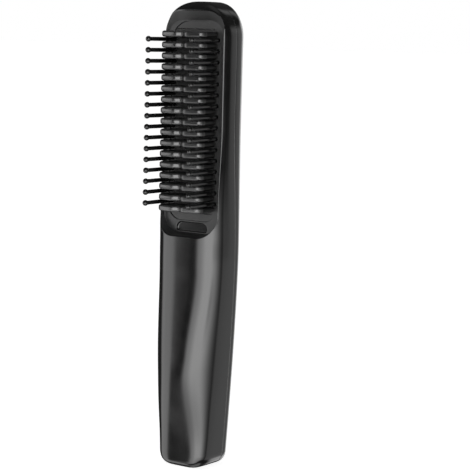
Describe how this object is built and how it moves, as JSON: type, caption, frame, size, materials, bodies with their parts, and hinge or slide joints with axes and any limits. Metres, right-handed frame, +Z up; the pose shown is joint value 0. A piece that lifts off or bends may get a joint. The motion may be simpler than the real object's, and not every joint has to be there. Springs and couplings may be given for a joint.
{
  "type": "hair straightening brush",
  "caption": "Cordless hair straightening brush: slim two-part charcoal casing with a palm swell, a heated comb of rounded teeth between two columns of ball-tipped bristles, gold power button.",
  "frame": {"origin": "centre of the flat foot of the handle, where it stands", "axes": "+Z up along the handle towards the crown, -Y the way the teeth and bristles point, +Y the back with the button, X across the width"},
  "size_m": [0.034, 0.0354, 0.204],
  "materials": {
    "casing": "satin charcoal plastic",
    "heated": "dark non-stick coating",
    "tip": "satin grey heat-resistant plastic",
    "bristle": "black",
    "ceramic": "ceramic",
    "mica": "sheet",
    "cover": "heat-resistant plastic",
    "screw": "plated",
    "black_part": "moulded",
    "fuse_shell": "plain",
    "red_lead": "silicone",
    "blue_lead": "silicone",
    "cell_wrap": "wrapped",
    "foam": "foam",
    "board": "solder mask",
    "ferrite": "ferrite",
    "socket_shell": "plain",
    "stem": "moulded",
    "gold": "polished gold plating"
  },
  "bodies": {
    "brush": {"front_casing": "casing", "rear_casing": "casing", "comb_frame": "casing", "heated_comb": "heated", "tooth_tips": "tip", "bristle_strip_left": "bristle", "bristle_strip_right": "bristle", "heater_plate": "ceramic", "mica_sheet": "mica", "heater_cover": "cover", "cover_screws": "screw", "thermistor": "black_part", "thermal_fuse": "fuse_shell", "heater_leads": "red_lead", "battery_cell": "cell_wrap", "battery_pads": "foam", "battery_board": "board", "battery_leads": "blue_lead", "control_board": "board", "board_screws": "screw", "control_chips": "black_part", "storage_coil": "ferrite", "charging_socket": "socket_shell", "switch_body": "black_part", "button_ring": "gold"},
    "button": {"button_cap": "gold", "switch_stem": "stem"}
  },
  "joints": [
    {"name": "button_press", "type": "slide", "parent": "brush", "child": "button", "axis": [0, -1, 0], "range_m": [0, 0.0006], "stiffness_N_per_m": 900}
  ]
}
